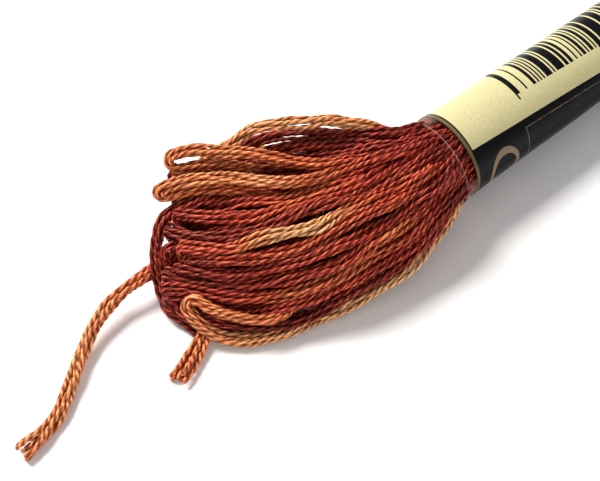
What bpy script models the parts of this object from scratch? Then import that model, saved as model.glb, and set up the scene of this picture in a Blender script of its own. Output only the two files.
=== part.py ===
"""A skein of stranded embroidery floss: one long strand wound into loops and folded, held
by a round printed sleeve. X runs along the skein, Z is up, and the skein lies on Z = 0.

The hank is one solid: ridged oval sections from the near fan of loops, through the round
waist in the sleeve, to the far fan. Loops that stand clear of the fans are joined to it,
and it is grooved where the two loose ends of the floss pass.
"""

import math

import bmesh
import bpy
from mathutils import Vector

MM = 0.001

# Driving sizes
FLOSS_DIAMETER = 1.5 * MM       # six yarns lying loosely together
SLEEVE_DIAMETER = 12.0 * MM      # at its mouths, which the fans press open
SLEEVE_WAIST_DIAMETER = 10.9 * MM
SLEEVE_FLARE = 1.4               # power of the curve from the waist to the mouths
SLEEVE_WALL = 0.35 * MM
SLEEVE_AXIS_HEIGHT = 5.9 * MM   # a little under the radius, so that a strip lies flat
PRINT_LENGTH = 60.0 * MM
CLEAR_MARGIN = 1.3 * MM         # unprinted film past the print at each mouth
GAP = 0.3 * MM                  # between pieces that touch

# The near edge of the print, and the sleeve's axis, from the middle of the skein
PRINT_START_X = -32.9 * MM
SLEEVE_AXIS_Y = -1.7 * MM
PRINT_END_X = PRINT_START_X + PRINT_LENGTH

SLEEVE_LENGTH = PRINT_LENGTH + 2 * CLEAR_MARGIN
SLEEVE_SIDES = 48
SLEEVE_CUTS = 7                 # rings of points between its mouths
WAIST_FLOOR = SLEEVE_WALL + GAP

# How the winding is divided into strand groups
RIDGES = 15
POINTS_PER_RIDGE = 4
RIDGE_SHARE = 0.15              # depth of a groove between groups, of the oval's half size
RIDGE_TWIST = 0.9               # radians that the groups turn from end to end
RIDGE_SWAY = 0.35               # radians that they wander, every SWAY_LENGTH of the hank
SWAY_LENGTH = 14.0 * MM
FLATTENED_SHARE = 0.07          # of an oval's height, lost where it lies on the surface

# Fan sections in mm. out: past the edge of the print. low_y, high_y: sides from the
# sleeve's axis. floor, top: heights. The rows run from the mouth to the loops' tips.
NEAR_FAN = (
    {"out": 4.0, "low_y": -6.4, "high_y": 6.7, "floor": 0.3, "top": 12.1},
    {"out": 9.0, "low_y": -7.6, "high_y": 8.8, "floor": 0.0, "top": 12.7},
    {"out": 15.0, "low_y": -8.0, "high_y": 11.8, "floor": 0.0, "top": 13.0},
    {"out": 22.0, "low_y": -7.5, "high_y": 14.6, "floor": 0.0, "top": 12.6},
    {"out": 29.0, "low_y": -5.9, "high_y": 16.4, "floor": 0.0, "top": 11.4},
    {"out": 34.0, "low_y": -3.9, "high_y": 16.2, "floor": 0.0, "top": 10.2},
    {"out": 37.6, "low_y": -1.3, "high_y": 14.4, "floor": 0.0, "top": 8.4},
    {"out": 39.4, "low_y": 1.6, "high_y": 12.0, "floor": 0.2, "top": 6.6},
    {"out": 40.2, "low_y": 4.6, "high_y": 9.2, "floor": 1.4, "top": 4.9},
)
FAR_FAN = (
    {"out": 4.0, "low_y": -6.4, "high_y": 6.4, "floor": 0.3, "top": 12.1},
    {"out": 9.0, "low_y": -8.2, "high_y": 7.4, "floor": 0.0, "top": 12.4},
    {"out": 17.0, "low_y": -10.9, "high_y": 8.2, "floor": 0.0, "top": 12.2},
    {"out": 26.0, "low_y": -13.2, "high_y": 8.0, "floor": 0.0, "top": 11.4},
    {"out": 33.4, "low_y": -14.4, "high_y": 6.7, "floor": 0.0, "top": 10.2},
    {"out": 39.4, "low_y": -13.9, "high_y": 4.4, "floor": 0.0, "top": 8.8},
    {"out": 43.4, "low_y": -11.6, "high_y": 1.2, "floor": 0.0, "top": 7.0},
    {"out": 45.2, "low_y": -8.6, "high_y": -2.0, "floor": 0.6, "top": 5.4},
    {"out": 46.0, "low_y": -6.9, "high_y": -3.7, "floor": 1.6, "top": 4.2},
)
FAN_STEP = 2.8 * MM             # between sections
WAIST_STEP = 8.0 * MM

# Loops that stand clear of the fans, in mm. Each route starts and ends inside the hank:
# out past the edge of the print, side from the sleeve's axis, and height.
NEAR_LOOPS = {
    "arch": ((4.2, 4.4, 9.8), (7.5, 6.5, 12.4), (11.5, 9.5, 14.0), (18.0, 14.0, 14.2),
             (22.0, 15.6, 12.8), (25.6, 17.6, 9.6), (26.2, 17.0, 6.6), (23.0, 13.6, 5.6)),
    "upper": ((10.8, 4.0, 11.0), (16.0, 7.4, 12.2), (21.9, 12.8, 12.6), (26.1, 17.4, 12.2),
              (29.6, 20.0, 11.2), (30.0, 19.0, 9.6), (24.4, 14.4, 8.8), (20.8, 11.4, 8.2)),
    "lower": ((14.9, 3.2, 11.0), (21.0, 7.2, 12.1), (27.0, 12.4, 12.1), (31.4, 16.2, 11.2),
              (34.2, 17.2, 9.6), (33.4, 15.6, 8.2), (29.0, 12.4, 7.0), (23.0, 9.0, 6.6)),
}
FAR_LOOPS = {
    "far_high": ((14.0, -2.0, 10.2), (22.0, -4.0, 11.8), (31.0, -6.6, 11.6), (38.5, -8.6, 10.2),
                 (41.4, -9.8, 8.0), (38.0, -9.6, 5.8), (31.0, -8.2, 5.4)),
    "far_side": ((16.0, -8.6, 6.4), (25.0, -12.6, 6.4), (33.0, -15.4, 5.4), (38.0, -16.6, 4.0),
                 (40.2, -15.0, 3.0), (37.0, -11.6, 3.2), (31.0, -9.4, 3.6)),
}
LOOP_STEPS = 3                  # straight pieces between two points of a route

# The loose ends, in metres, from their cut tips to where they are lost in the hank
LONG_END_ROUTE = (
    (-0.0994, 0.0007, 0.0008), (-0.0941, 0.0017, 0.0008), (-0.0895, 0.0041, 0.0010),
    (-0.0848, 0.0074, 0.0015), (-0.0811, 0.0092, 0.0020), (-0.0765, 0.0104, 0.0027),
    (-0.0708, 0.0100, 0.0033), (-0.0672, 0.0092, 0.0036), (-0.0636, 0.0080, 0.0037),
)
SHORT_END_ROUTE = (
    (-0.0786, -0.0032, 0.0008), (-0.0762, -0.0024, 0.0008), (-0.0717, -0.0004, 0.0008),
    (-0.0675, 0.0012, 0.0008), (-0.0610, 0.0024, 0.0008), (-0.0545, 0.0028, 0.0008),
    (-0.0470, 0.0027, 0.0008),
)
END_STEPS = 2

# Base colour, roughness and metallic
HANK_FINISH = ((0.42, 0.075, 0.03, 1.0), 0.72, 0.0)
SLEEVE_FINISH = ((0.72, 0.66, 0.38, 1.0), 0.25, 0.0)
LOOSE_END_FINISH = ((0.70, 0.24, 0.08, 1.0), 0.72, 0.0)


def clear_scene():
    for obj in list(bpy.data.objects):
        bpy.data.objects.remove(obj, do_unlink=True)


def new_collection(name):
    collection = bpy.data.collections.new(name)
    bpy.context.scene.collection.children.link(collection)
    return collection


def finish_material(name, finish):
    colour, roughness, metallic = finish
    material = bpy.data.materials.new(name)
    material.use_nodes = True
    shader = material.node_tree.nodes["Principled BSDF"]
    shader.inputs["Base Color"].default_value = colour
    shader.inputs["Roughness"].default_value = roughness
    shader.inputs["Metallic"].default_value = metallic
    return material


def shade_round(mesh, crease=math.radians(40)):
    mesh.shade_smooth()
    mesh.set_sharp_from_angle(angle=crease)


def add_mesh_object(name, mesh, collection, material):
    obj = bpy.data.objects.new(name, mesh)
    collection.objects.link(obj)
    mesh.materials.clear()
    mesh.materials.append(material)
    return obj


def smooth_value(xs, ys, x):
    """The value at x of a monotone cubic through (xs, ys): it never overshoots a row."""
    spans = [b - a for a, b in zip(xs, xs[1:])]
    slopes = [(b - a) / span for a, b, span in zip(ys, ys[1:], spans)]
    tangents = [0.0] + [
        2 / (1 / a + 1 / b) if a * b > 0 else 0.0 for a, b in zip(slopes, slopes[1:])
    ] + [0.0]
    if x <= xs[0]:
        return ys[0]
    if x >= xs[-1]:
        return ys[-1]
    row = next(i for i in range(len(spans)) if x <= xs[i + 1])
    t = (x - xs[row]) / spans[row]
    start = (1 + 2 * t) * (1 - t) ** 2 * ys[row] + t * (1 - t) ** 2 * spans[row] * tangents[row]
    end = t * t * (3 - 2 * t) * ys[row + 1] + t * t * (t - 1) * spans[row] * tangents[row + 1]
    return start + end


def smooth_route(points, steps):
    """Points along a Catmull-Rom curve through the route's own points."""
    knots = [Vector(p) for p in points]
    knots = [2 * knots[0] - knots[1]] + knots + [2 * knots[-1] - knots[-2]]
    route = []
    for p0, p1, p2, p3 in zip(knots, knots[1:], knots[2:], knots[3:]):
        for step in range(steps):
            t = step / steps
            route.append(
                0.5 * (2 * p1 + t * (p2 - p0) + t * t * (2 * p0 - 5 * p1 + 4 * p2 - p3)
                       + t ** 3 * (3 * p1 - p0 - 3 * p2 + p3))
            )
    return route + [knots[-2]]


def cord_object(name, route, radius, collection):
    """A round tube with closed ends along the route's points."""
    curve = bpy.data.curves.new(name, "CURVE")
    curve.dimensions = "3D"
    curve.bevel_depth = radius
    curve.bevel_resolution = 2
    curve.use_fill_caps = True
    spline = curve.splines.new("POLY")
    spline.points.add(len(route) - 1)
    for point, place in zip(spline.points, route):
        point.co = (*place, 1.0)
    spline.use_smooth = True
    obj = bpy.data.objects.new(name, curve)
    collection.objects.link(obj)
    return obj


def as_welded_mesh(obj, collection):
    """The curve as a mesh object whose caps are joined to its sides."""
    bpy.context.view_layer.update()
    evaluated = obj.evaluated_get(bpy.context.evaluated_depsgraph_get())
    mesh = bpy.data.meshes.new_from_object(evaluated)
    shape = bmesh.new()
    shape.from_mesh(mesh)
    bmesh.ops.remove_doubles(shape, verts=shape.verts, dist=0.01 * MM)
    shape.to_mesh(mesh)
    shape.free()
    name = obj.name
    place = obj.matrix_world.copy()
    bpy.data.objects.remove(obj, do_unlink=True)
    solid = bpy.data.objects.new(name, mesh)
    solid.matrix_world = place
    collection.objects.link(solid)
    return solid


def fan_rows(fan, edge_x, outward):
    """The fan's table in metres and in world X, with outward +1 or -1."""
    rows = []
    for row in fan:
        rows.append({
            "x": edge_x + outward * row["out"] * MM,
            "low_y": SLEEVE_AXIS_Y + row["low_y"] * MM,
            "high_y": SLEEVE_AXIS_Y + row["high_y"] * MM,
            "floor": row["floor"] * MM,
            "top": row["top"] * MM,
            "sink": FLATTENED_SHARE * (row["top"] - row["floor"]) * MM,
            "step": FAN_STEP,
        })
    return rows


def sleeve_radius(x):
    """The sleeve's outer radius: widest at its mouths, narrowest half way."""
    from_middle = abs(x - (PRINT_START_X + PRINT_END_X) / 2) / (SLEEVE_LENGTH / 2)
    flare = min(from_middle, 1.0) ** SLEEVE_FLARE
    return (SLEEVE_WAIST_DIAMETER + flare * (SLEEVE_DIAMETER - SLEEVE_WAIST_DIAMETER)) / 2


def waist_rows():
    """Round sections that fill the sleeve, a little past both of its ends."""
    rows = []
    for cut in range(SLEEVE_CUTS + 2):
        share = cut / (SLEEVE_CUTS + 1)
        x = PRINT_START_X - CLEAR_MARGIN - GAP + share * (SLEEVE_LENGTH + 2 * GAP)
        radius = sleeve_radius(x) - SLEEVE_WALL - GAP
        bottom = SLEEVE_AXIS_HEIGHT - radius
        floor = max(bottom, WAIST_FLOOR)
        rows.append({
            "x": x,
            "low_y": SLEEVE_AXIS_Y - radius,
            "high_y": SLEEVE_AXIS_Y + radius,
            "floor": floor,
            "top": SLEEVE_AXIS_HEIGHT + radius,
            "sink": floor - bottom,
            "step": WAIST_STEP,
        })
    return rows


def hank_rows():
    near = fan_rows(NEAR_FAN, PRINT_START_X, -1)
    far = fan_rows(FAR_FAN, PRINT_END_X, 1)
    return near[::-1] + waist_rows() + far


def station_places(rows):
    """Where the sections stand: on every row, and evenly between rows."""
    places = []
    for row, following in zip(rows, rows[1:]):
        span = following["x"] - row["x"]
        count = max(1, round(span / row["step"]))
        places += [row["x"] + span * i / count for i in range(count)]
    return places + [rows[-1]["x"]]


def hank_section(rows, x):
    """One ridged oval at x, flat along its underside."""
    xs = [row["x"] for row in rows]
    column = {key: smooth_value(xs, [row[key] for row in rows], x) for key in rows[0]}
    middle_y = (column["low_y"] + column["high_y"]) / 2
    half_width = (column["high_y"] - column["low_y"]) / 2
    bottom = column["floor"] - column["sink"]
    middle_z = (column["top"] + bottom) / 2
    half_height = (column["top"] - bottom) / 2
    turn = RIDGE_TWIST * (x - xs[0]) / (xs[-1] - xs[0])
    sway = RIDGE_SWAY * math.sin((x - xs[0]) / SWAY_LENGTH)
    count = RIDGES * POINTS_PER_RIDGE
    ring = []
    for i in range(count):
        angle = math.tau * i / count + turn
        groove = 0.5 - 0.5 * math.cos(math.tau * i / POINTS_PER_RIDGE + sway)
        inward = 1 - RIDGE_SHARE * groove
        y = middle_y + half_width * inward * math.cos(angle)
        z = middle_z + half_height * inward * math.sin(angle)
        ring.append(Vector((x, y, max(z, column["floor"]))))
    return ring


def loft(name, rings, collection, material):
    """A closed body through rings of equal count, with a flat cap on each end."""
    shape = bmesh.new()
    rows = [[shape.verts.new(point) for point in ring] for ring in rings]
    for ring, following in zip(rows, rows[1:]):
        for i in range(len(ring)):
            j = (i + 1) % len(ring)
            shape.faces.new((ring[i], ring[j], following[j], following[i]))
    shape.faces.new(rows[0][::-1])
    shape.faces.new(rows[-1])
    bmesh.ops.recalc_face_normals(shape, faces=shape.faces)
    mesh = bpy.data.meshes.new(name)
    shape.to_mesh(mesh)
    shape.free()
    return add_mesh_object(name, mesh, collection, material)


def boolean(obj, tool, operation):
    modifier = obj.modifiers.new(f"{operation.lower()} {tool.name}", "BOOLEAN")
    modifier.operation = operation
    modifier.object = tool
    modifier.solver = "EXACT"


def as_tool(obj):
    obj.hide_render = True
    obj.display_type = "WIRE"


def standing_loop(name, route, edge_x, outward, tools):
    """One loop of floss that stands clear of its fan, as a mesh to be joined to the hank."""
    places = [
        (edge_x + outward * out * MM, SLEEVE_AXIS_Y + side * MM, height * MM)
        for out, side, height in route
    ]
    curve = cord_object(name, smooth_route(places, LOOP_STEPS), FLOSS_DIAMETER / 2, tools)
    return as_welded_mesh(curve, tools)


def passage(name, route, tools):
    """The room that a loose end needs where it passes the hank."""
    places = smooth_route(route, END_STEPS)
    past_the_end = places[-1] + (places[-1] - places[-2]).normalized() * GAP
    curve = cord_object(name, places + [past_the_end], FLOSS_DIAMETER / 2 + GAP, tools)
    return as_welded_mesh(curve, tools)


def make_hank(collection, tools):
    rows = hank_rows()
    rings = [hank_section(rows, x) for x in station_places(rows)]
    hank = loft("hank", rings, collection, finish_material("dyed_cotton", HANK_FINISH))
    for name, route in NEAR_LOOPS.items():
        boolean(hank, standing_loop(name, route, PRINT_START_X, -1, tools), "UNION")
    for name, route in FAR_LOOPS.items():
        boolean(hank, standing_loop(name, route, PRINT_END_X, 1, tools), "UNION")
    for name, route in (("long_passage", LONG_END_ROUTE), ("short_passage", SHORT_END_ROUTE)):
        boolean(hank, passage(name, route, tools), "DIFFERENCE")
    for tool in tools.objects:
        as_tool(tool)
    shade_round(hank.data)
    return hank


def make_band(collection):
    bpy.ops.mesh.primitive_cylinder_add(
        vertices=SLEEVE_SIDES, radius=1.0, depth=SLEEVE_LENGTH, end_fill_type="NOTHING",
        rotation=(0, math.pi / 2, 0),
        location=((PRINT_START_X + PRINT_END_X) / 2, SLEEVE_AXIS_Y, SLEEVE_AXIS_HEIGHT),
    )
    band = bpy.context.active_object
    bpy.ops.object.transform_apply(location=True, rotation=True, scale=True)
    band.name = "band"
    band.data.name = "band"
    shape = bmesh.new()
    shape.from_mesh(band.data)
    long_edges = [e for e in shape.edges if abs(e.verts[0].co.x - e.verts[1].co.x) > GAP]
    bmesh.ops.subdivide_edges(shape, edges=long_edges, cuts=SLEEVE_CUTS, use_grid_fill=True)
    for vertex in shape.verts:
        radius = sleeve_radius(vertex.co.x)
        vertex.co.y = SLEEVE_AXIS_Y + (vertex.co.y - SLEEVE_AXIS_Y) * radius
        height = SLEEVE_AXIS_HEIGHT + (vertex.co.z - SLEEVE_AXIS_HEIGHT) * radius
        vertex.co.z = max(height, 0.0)
    shape.to_mesh(band.data)
    shape.free()
    wall = band.modifiers.new("wall", "SOLIDIFY")
    wall.thickness = SLEEVE_WALL
    wall.offset = -1.0
    wall.use_even_offset = True
    for old in list(band.users_collection):
        old.objects.unlink(band)
    collection.objects.link(band)
    band.data.materials.append(finish_material("printed_sleeve", SLEEVE_FINISH))
    shade_round(band.data)
    return band


def make_loose_end(name, route, collection, material):
    places = smooth_route(route, END_STEPS)
    end = cord_object(name, places, FLOSS_DIAMETER / 2, collection)
    end.data.materials.append(material)
    return end


def main():
    clear_scene()
    skein = new_collection("embroidery_floss_skein")
    tools = new_collection("shaping_tools")
    make_hank(skein, tools)
    make_band(skein)
    loose_cotton = finish_material("loose_end_cotton", LOOSE_END_FINISH)
    make_loose_end("long_end", LONG_END_ROUTE, skein, loose_cotton)
    make_loose_end("short_end", SHORT_END_ROUTE, skein, loose_cotton)


main()
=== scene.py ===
import math

import bpy
import numpy as np
from mathutils import Matrix, Vector


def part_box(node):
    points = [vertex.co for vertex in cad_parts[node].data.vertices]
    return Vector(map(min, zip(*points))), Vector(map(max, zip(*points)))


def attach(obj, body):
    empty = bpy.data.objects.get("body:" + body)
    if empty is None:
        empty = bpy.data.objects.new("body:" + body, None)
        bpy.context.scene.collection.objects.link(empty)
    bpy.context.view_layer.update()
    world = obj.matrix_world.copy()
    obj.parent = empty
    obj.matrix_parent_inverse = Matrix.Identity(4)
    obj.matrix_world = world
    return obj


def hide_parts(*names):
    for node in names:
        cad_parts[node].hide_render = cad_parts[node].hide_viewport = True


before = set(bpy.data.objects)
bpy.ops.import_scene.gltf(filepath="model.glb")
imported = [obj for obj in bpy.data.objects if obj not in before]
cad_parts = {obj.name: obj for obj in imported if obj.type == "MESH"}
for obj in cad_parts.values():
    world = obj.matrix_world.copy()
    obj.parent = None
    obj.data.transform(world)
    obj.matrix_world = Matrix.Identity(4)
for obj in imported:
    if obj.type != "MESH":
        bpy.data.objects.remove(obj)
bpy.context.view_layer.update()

# ---------------------------------------------------------------- camera
# A long lens looks down on the near fan of loops, from in front and to its left. The sleeve
# runs out of the frame at the upper right.
MM = 0.001
band_low, band_high = (np.array(corner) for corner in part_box("band"))
CLEAR_MARGIN = 1.3                     # mm of unprinted film at each mouth of the sleeve
SLEEVE_RADIUS = (band_high[1] - band_low[1]) / 2 / MM
AXIS_Y = (band_high[1] + band_low[1]) / 2 / MM
AXIS_Z = band_high[2] / MM - SLEEVE_RADIUS
NEAR_PRINT_X = band_low[0] / MM + CLEAR_MARGIN
FAR_PRINT_X = band_high[0] / MM - CLEAR_MARGIN

VIEW_AZIMUTH = math.radians(-40.3)
VIEW_ELEVATION = math.radians(54.2)
LENS = 150.0
VIEW_DISTANCE = 319.3                  # mm, from the sleeve's mouth
AIM_LEFT, AIM_DOWN = 18.71, 10.73      # mm, from the mouth to the middle of the view

back = Vector((math.sin(VIEW_AZIMUTH) * math.cos(VIEW_ELEVATION),
               -math.cos(VIEW_AZIMUTH) * math.cos(VIEW_ELEVATION),
               math.sin(VIEW_ELEVATION)))
right = Vector((math.cos(VIEW_AZIMUTH), math.sin(VIEW_AZIMUTH), 0))
up = back.cross(right)
mouth = Vector((NEAR_PRINT_X, AXIS_Y, AXIS_Z))
camera_data = bpy.data.cameras.new("camera")
camera_data.lens = LENS
camera_data.clip_start = 0.01
camera = bpy.data.objects.new("camera", camera_data)
bpy.context.scene.collection.objects.link(camera)
place = mouth + back * VIEW_DISTANCE - right * AIM_LEFT - up * AIM_DOWN
camera_turn = Matrix((right, up, back)).transposed().to_4x4()
camera.matrix_world = Matrix.Translation(place * MM) @ camera_turn
bpy.context.scene.camera = camera
bpy.context.scene.view_settings.view_transform = "Standard"


# ------------------------------------------------------------ loose ends
# The two free ends of the one long thread. Floss is six two-ply cotton yarns that only lie
# together, so at a cut tip they open. Each yarn is a thin tube whose oval section turns with
# the twist of its two plies, and the dye changes slowly along it.
PLY_PITCH = 2.7                        # mm for a full turn of the two plies, a left-hand twist
YARN_WIDE, YARN_THIN = 0.295, 0.215    # mm, half sizes of the two plies side by side
BUNDLE_WIDE, BUNDLE_THIN = 0.62, 0.42  # mm, of the oval that five yarns lie on, round the sixth
YARNS = 6                              # the last one lies in the middle
MIDDLE_SPREAD = 0.35                   # of the others' spread at an open tip
YARN_SIDES = 6
SURFACE_GAP = 0.02                     # mm that yarns and film keep from the surface
# How each yarn strays from a plain twist: a wavelength in mm, and how far.
TURN_WANDER = (30, 0.5)                # radians, of all six yarns together
PLACE_WANDER = (10, 0.22)              # radians, of one yarn round the others
RADIUS_WANDER = (7, 0.12)              # of a yarn's distance from the middle
TWIST_WANDER = (6, 0.7)                # radians, of its two plies
DYE_WANDER = (14, 0.045)               # of the dye's scale
DYE_STOPS = (
    (0.00, (0.090, 0.004, 0.006)),
    (0.20, (0.300, 0.011, 0.016)),
    (0.40, (0.530, 0.034, 0.022)),
    (0.60, (0.740, 0.150, 0.048)),
    (0.80, (0.900, 0.315, 0.115)),
    (1.00, (0.990, 0.530, 0.235)),
)


class Wire:
    """A value in a material's nodes. Arithmetic on it adds Math nodes."""

    def __init__(self, tree, socket=None):
        self.tree = tree
        self.socket = socket

    def node(self, kind, settings=(), sockets=(), output=0):
        node = self.tree.nodes.new(kind)
        for name, value in dict(settings).items():
            if name == "stops":
                ramp = node.color_ramp.elements
                while len(ramp) < len(value):
                    ramp.new(1.0)
                for element, (position, colour) in zip(ramp, value):
                    element.position = position
                    element.color = (*colour, 1.0)
            elif name == "spread":
                node.color_ramp.interpolation = value
            else:
                setattr(node, name, value)
        for name, value in dict(sockets).items():
            self.plug(node.inputs[name], value)
        return Wire(self.tree, node.outputs[output])

    def plug(self, socket, value):
        if isinstance(value, Wire):
            self.tree.links.new(value.socket, socket)
        else:
            socket.default_value = value

    def math(self, operation, *others, clamp=False):
        values = dict(enumerate((self, *others)))
        return self.node("ShaderNodeMath", {"operation": operation, "use_clamp": clamp}, values)

    def __add__(self, other):
        return self.math("ADD", other)

    def __sub__(self, other):
        return self.math("SUBTRACT", other)

    def __rsub__(self, other):
        return self.node("ShaderNodeMath", {"operation": "SUBTRACT"}, {0: other, 1: self})

    def __mul__(self, other):
        return self.math("MULTIPLY", other)

    def __truediv__(self, other):
        return self.math("DIVIDE", other)

    __radd__ = __add__
    __rmul__ = __mul__

    def ramp(self, low, high, from_value=0.0, to_value=1.0):
        sockets = {"Value": self, "From Min": low, "From Max": high,
                   "To Min": from_value, "To Max": to_value}
        return self.node("ShaderNodeMapRange", sockets=sockets)

    def split(self):
        """The first two parts of a vector."""
        parts = self.node("ShaderNodeSeparateXYZ", sockets={0: self})
        return [Wire(self.tree, parts.socket.node.outputs[k]) for k in (0, 1)]

    def between(self, low, high):
        """1 where the value lies between low and high, else 0."""
        return self.math("GREATER_THAN", low) * self.math("LESS_THAN", high)

    def over(self, colour, below):
        """This value as a mask: colour where it is 1, below where it is 0."""
        sockets = {0: self, 6: below, 7: colour}
        return self.node("ShaderNodeMix", {"data_type": "RGBA"}, sockets, output=2)


def new_finish(name):
    """A material, its shader node, and a wire to start its nodes from."""
    material = bpy.data.materials.new(name)
    material.use_nodes = True
    tree = material.node_tree
    return material, tree.nodes["Principled BSDF"], Wire(tree)


def cotton_finish():
    """Mercerised cotton: the dye by the thread's own mark, with painted shade where the plies meet
    and a painted highlight on their crests.
    """
    material, shader, start = new_finish("dyed_cotton_yarn")
    dye = start.node("ShaderNodeAttribute", {"attribute_name": "dye"}, output="Fac")
    tint = start.node("ShaderNodeAttribute", {"attribute_name": "tint"}, output="Fac")
    along, round_ply = start.node("ShaderNodeUVMap", {"uv_map": "yarn"}).split()
    crest = (round_ply * (4 * math.pi)).math("COSINE") * 0.5 + 0.5
    position = start.node("ShaderNodeCombineXYZ", sockets={
        0: along * 1.1,
        1: ((round_ply - along / PLY_PITCH) * math.tau).math("COSINE") * 1.3,
        2: ((round_ply - along / PLY_PITCH) * math.tau).math("SINE") * 1.3 + tint * 37.0,
    })
    fibre = position.node("ShaderNodeTexNoise", sockets={
        "Vector": position, "Scale": 1.9, "Detail": 5.0, "Roughness": 0.6})
    uneven = position.node("ShaderNodeTexNoise", sockets={
        "Vector": position, "Scale": 0.7, "Detail": 1.0})
    colour = dye.node("ShaderNodeValToRGB", {"stops": DYE_STOPS},
                      {"Fac": dye + 0.36 * (uneven - 0.5)})
    # The colour of the painted highlight on the ply crests, a lighter dye.
    painted_highlight_colour = dye.node("ShaderNodeValToRGB", {"stops": DYE_STOPS}, {"Fac": dye * 0.84 + 0.40})
    # Painted shade: the colour darkens in the grooves where the plies meet; the yarn's tint and
    # the fibre flecks vary its tone.
    painted_groove_shade = crest.ramp(0.0, 0.55, 0.26, 1.0)
    painted_shade_and_tone = painted_groove_shade * (0.74 + 0.42 * tint) * fibre.ramp(0.38, 0.62, 0.42, 1.24)
    painted_shade_and_tone_grey = painted_shade_and_tone.node("ShaderNodeCombineColor", sockets={0: painted_shade_and_tone, 1: painted_shade_and_tone, 2: painted_shade_and_tone})
    dye_with_painted_shade = colour.node("ShaderNodeMix", {"data_type": "RGBA", "blend_type": "MULTIPLY"},
                       {0: 1.0, 6: colour, 7: painted_shade_and_tone_grey}, output=2)
    # Painted highlight: the lighter colour in flecks on the ply crests.
    painted_highlight = crest.math("POWER", 3.0) * fibre.ramp(0.48, 0.58, 0.0, 1.0)
    start.plug(shader.inputs["Base Color"], painted_highlight.over(painted_highlight_colour, dye_with_painted_shade))
    start.plug(shader.inputs["Roughness"], 0.72 - 0.40 * crest + 0.18 * fibre)
    height = crest.math("SQRT") * 0.8 + fibre * 0.35
    normal = height.node("ShaderNodeBump", sockets={
        "Strength": 0.6, "Distance": 0.00009, "Height": height})
    start.plug(shader.inputs["Normal"], normal)
    shader.inputs["Specular IOR Level"].default_value = 0.42
    shader.inputs["Specular Tint"].default_value = (1.0, 0.62, 0.42, 1)
    return material


cotton = cotton_finish()


def smooth_path(points, count):
    """Evenly spaced points on a Catmull-Rom curve through the given ones."""
    points = np.asarray(points, float)
    padded = np.vstack([2 * points[0] - points[1], points, 2 * points[-1] - points[-2]])
    t = np.linspace(0, 1, 9)[:-1][:, None]
    pieces = []
    for a, b, c, d in zip(padded, padded[1:], padded[2:], padded[3:]):
        pieces.append(0.5 * (2 * b + t * (c - a) + t * t * (2 * a - 5 * b + 4 * c - d)
                             + t ** 3 * (3 * b - a - 3 * c + d)))
    dense = np.vstack(pieces + [points[-1:]])
    gone = np.concatenate([[0], np.cumsum(np.linalg.norm(np.diff(dense, axis=0), axis=1))])
    places = np.linspace(0, gone[-1], count)
    return np.column_stack([np.interp(places, gone, dense[:, k]) for k in range(3)])


def path_length(path):
    return np.linalg.norm(np.diff(path, axis=0), axis=1).sum()


def carried_frame(path):
    """Two directions across the path at each point, carried along it without turning."""
    tangents = np.gradient(path, axis=0)
    tangents /= np.linalg.norm(tangents, axis=1)[:, None]
    across = np.cross(tangents[0], (0.0, 0.0, 1.0))
    if np.linalg.norm(across) < 0.1:
        across = np.cross(tangents[0], (0.0, 1.0, 0.0))
    rows = []
    for tangent in tangents:
        across = across - tangent * across.dot(tangent)
        across = across / np.linalg.norm(across)
        rows.append(across)
    across = np.array(rows)
    return across, np.cross(tangents, across)


def wander(rng, places, wavelength, amount):
    """A slow random drift along a yarn: three waves of near lengths."""
    drift = np.zeros_like(places)
    for _ in range(3):
        length = wavelength * rng.uniform(0.6, 1.6)
        drift += np.sin(math.tau * (places / length + rng.uniform()))
    return drift * amount / 1.7


def twist_yarns(rng, path, dye, spacing, squash=None, opening=None, sides=YARN_SIDES,
                stagger=0.0, fullness=1.0):
    """The six yarns of one floss along path (mm). dye is given at points along the floss.

    opening is how far, in mm, the yarns spread past their places at each point. fullness is
    how much the floss swells where nothing presses it.
    """
    length = path_length(path)
    count = max(8, int(length / spacing))
    path = smooth_path(path, count)
    places = np.linspace(0, length, count)
    across, over = carried_frame(path)
    dyes = np.interp(places, np.linspace(0, length, len(dye)), dye)
    squash = np.ones(count) if squash is None else np.interp(
        places, np.linspace(0, length, len(squash)), squash)
    opening = np.zeros(count) if opening is None else np.interp(
        places, np.linspace(0, length, len(opening)), opening)
    turn = rng.uniform(0, math.tau) + places * rng.uniform(-0.09, 0.05)
    turn = turn + wander(rng, places, *TURN_WANDER)
    around = np.arange(sides) * math.tau / sides
    oval = np.column_stack([YARN_WIDE * np.cos(around), YARN_THIN * np.sin(around)]) * fullness
    yarns = []
    for yarn in range(YARNS):
        in_middle = yarn == YARNS - 1
        from_middle = 0.0 if in_middle else 1.0
        angle = turn + math.tau * yarn / (YARNS - 1) + wander(rng, places, *PLACE_WANDER)
        radius = (from_middle + wander(rng, places, *RADIUS_WANDER)) * squash * fullness
        spread = opening * (MIDDLE_SPREAD if in_middle else 1.0)
        sideways = (radius * BUNDLE_WIDE + spread) * np.cos(angle)
        upward = (radius * BUNDLE_THIN + spread * 0.6) * np.sin(angle)
        centre = path + across * sideways[:, None] + over * upward[:, None]
        cut = 0
        if stagger and yarn > 1:
            cut = int(rng.uniform(0, stagger) / spacing)
        kept = slice(cut, None)
        pitch = PLY_PITCH * rng.uniform(0.85, 1.2)
        twist = rng.uniform(0, math.tau) - math.tau * places / pitch
        twist = twist + wander(rng, places, *TWIST_WANDER)
        x = np.outer(np.cos(twist), oval[:, 0]) - np.outer(np.sin(twist), oval[:, 1])
        y = np.outer(np.sin(twist), oval[:, 0]) + np.outer(np.cos(twist), oval[:, 1])
        shell = centre[:, None] + across[:, None] * x[:, :, None] + over[:, None] * y[:, :, None]
        marks = np.clip(dyes + wander(rng, places, *DYE_WANDER) + rng.normal(0, 0.02), 0, 1)
        yarns.append((shell[kept], places[kept], marks[kept], rng.uniform()))
    return yarns, path


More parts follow.
